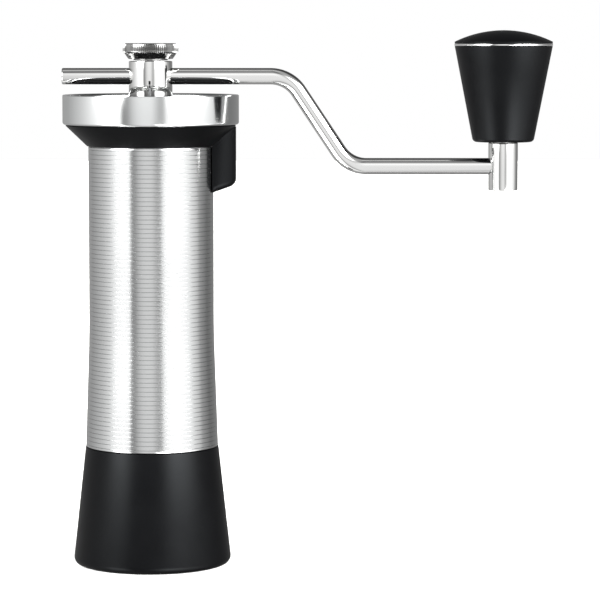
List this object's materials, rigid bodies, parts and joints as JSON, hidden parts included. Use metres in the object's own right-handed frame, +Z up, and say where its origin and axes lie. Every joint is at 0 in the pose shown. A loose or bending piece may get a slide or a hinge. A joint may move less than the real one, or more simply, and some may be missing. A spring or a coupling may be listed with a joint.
{
  "type": "hand crank coffee grinder",
  "caption": "Slim hand coffee grinder: ribbed steel body, screw-clamped cranked arm with a spinning knob, conical burrs, lift-off lid and a magnetic black catch cup.",
  "frame": {"origin": "centre of the catch cup's foot, on the surface that the grinder stands on", "axes": "+Z up along the shaft, +X from the shaft towards the knob at rest, thumb rest at +X"},
  "size_m": [0.1975, 0.071, 0.2162],
  "materials": {
    "black_plastic": "moulded, fine satin texture",
    "sleeve_steel": "stainless, fine turned grooves",
    "ring_steel": "stainless, satin turned, close to polished",
    "polished_steel": "stainless, polished",
    "chassis_aluminium": "turned and bead blasted",
    "dial_aluminium": "black anodised",
    "burr_steel": "hardened tool steel, ground teeth",
    "machined_steel": "turned steel, zinc plated fasteners",
    "brass": "turned",
    "magnet_nickel": "nickel plated",
    "bush_polymer": "acetal, as moulded",
    "rubber": "nitrile, moulded"
  },
  "bodies": {
    "cup": {"catch_cup": "black_plastic", "cup_steel_ring": "machined_steel"},
    "housing": {"outer_sleeve": "sleeve_steel", "chassis_tube": "chassis_aluminium", "hopper_collar": "black_plastic", "hopper_ring": "ring_steel", "lower_bracket": "chassis_aluminium", "lower_bush": "bush_polymer", "upper_bracket": "chassis_aluminium", "bracket_screw_1": "machined_steel", "bracket_screw_2": "machined_steel", "bracket_screw_3": "machined_steel", "bracket_screw_4": "machined_steel", "bracket_screw_5": "machined_steel", "bracket_screw_6": "machined_steel", "ring_burr": "burr_steel", "burr_retaining_ring": "chassis_aluminium", "ring_magnet": "magnet_nickel", "backlash_spring": "machined_steel"},
    "carrier": {"bearing_carrier": "brass", "bearing_outer_ring": "machined_steel"},
    "dial": {"adjusting_dial": "dial_aluminium", "dial_snap_ring": "machined_steel"},
    "shaft": {"drive_shaft": "machined_steel", "cone_burr": "burr_steel", "bean_feeder": "chassis_aluminium", "burr_washer": "machined_steel", "burr_screw": "machined_steel", "bearing_inner_ring": "machined_steel", "shaft_clip": "machined_steel"},
    "lid": {"hopper_lid": "black_plastic"},
    "crank": {"crank_hub": "polished_steel", "hub_o_ring": "rubber"},
    "arm": {"crank_rod": "polished_steel", "knob_spindle": "polished_steel", "spindle_washer": "machined_steel", "spindle_screw": "machined_steel"},
    "pad": {"clamp_pad": "brass"},
    "clamp": {"clamp_screw": "polished_steel"},
    "knob": {"knob_grip": "black_plastic", "knob_trim_ring": "polished_steel", "knob_cap": "black_plastic", "knob_bush_lower": "bush_polymer", "knob_bush_upper": "bush_polymer"}
  },
  "joints": [
    {"name": "housing_lift", "type": "slide", "parent": "cup", "child": "housing", "axis": [0, 0, 1], "range_m": [0, 0.06]},
    {"name": "carrier_slide", "type": "slide", "parent": "housing", "child": "carrier", "axis": [0, 0, 1], "range_m": [-0.000944, 0], "deforming": ["backlash_spring"]},
    {"name": "dial_turn", "type": "hinge", "parent": "carrier", "child": "dial", "pos_m": [0, 0, 0.178], "axis": [0, 0, 1], "range_deg": [0, 340]},
    {"name": "shaft_turn", "type": "hinge", "parent": "carrier", "child": "shaft", "pos_m": [0, 0, 0.165], "axis": [0, 0, -1], "continuous": true},
    {"name": "crank_lift", "type": "slide", "parent": "shaft", "child": "crank", "axis": [0, 0, 1], "range_m": [0, 0.03]},
    {"name": "lid_lift", "type": "slide", "parent": "housing", "child": "lid", "axis": [0, 0, 1], "range_m": [0, 0.03]},
    {"name": "arm_slide", "type": "slide", "parent": "crank", "child": "arm", "axis": [1, 0, 0], "range_m": [-0.015, 0.025]},
    {"name": "pad_lift", "type": "slide", "parent": "crank", "child": "pad", "axis": [0, 0, 1], "range_m": [0, 0.00375]},
    {"name": "clamp_turn", "type": "hinge", "parent": "pad", "child": "clamp", "pos_m": [0, 0, 0.207], "axis": [0, 0, 1], "range_deg": [0, 1080]},
    {"name": "knob_turn", "type": "hinge", "parent": "arm", "child": "knob", "pos_m": [0.142, 0, 0.19], "axis": [0, 0, 1], "continuous": true}
  ],
  "couplings": [
    {"joint": "dial_turn", "follows": "carrier_slide", "rad_per_m": -6283.2},
    {"joint": "lid_lift", "follows": "crank_lift", "ratio": 1},
    {"joint": "clamp_turn", "follows": "pad_lift", "rad_per_m": 5026.5}
  ]
}
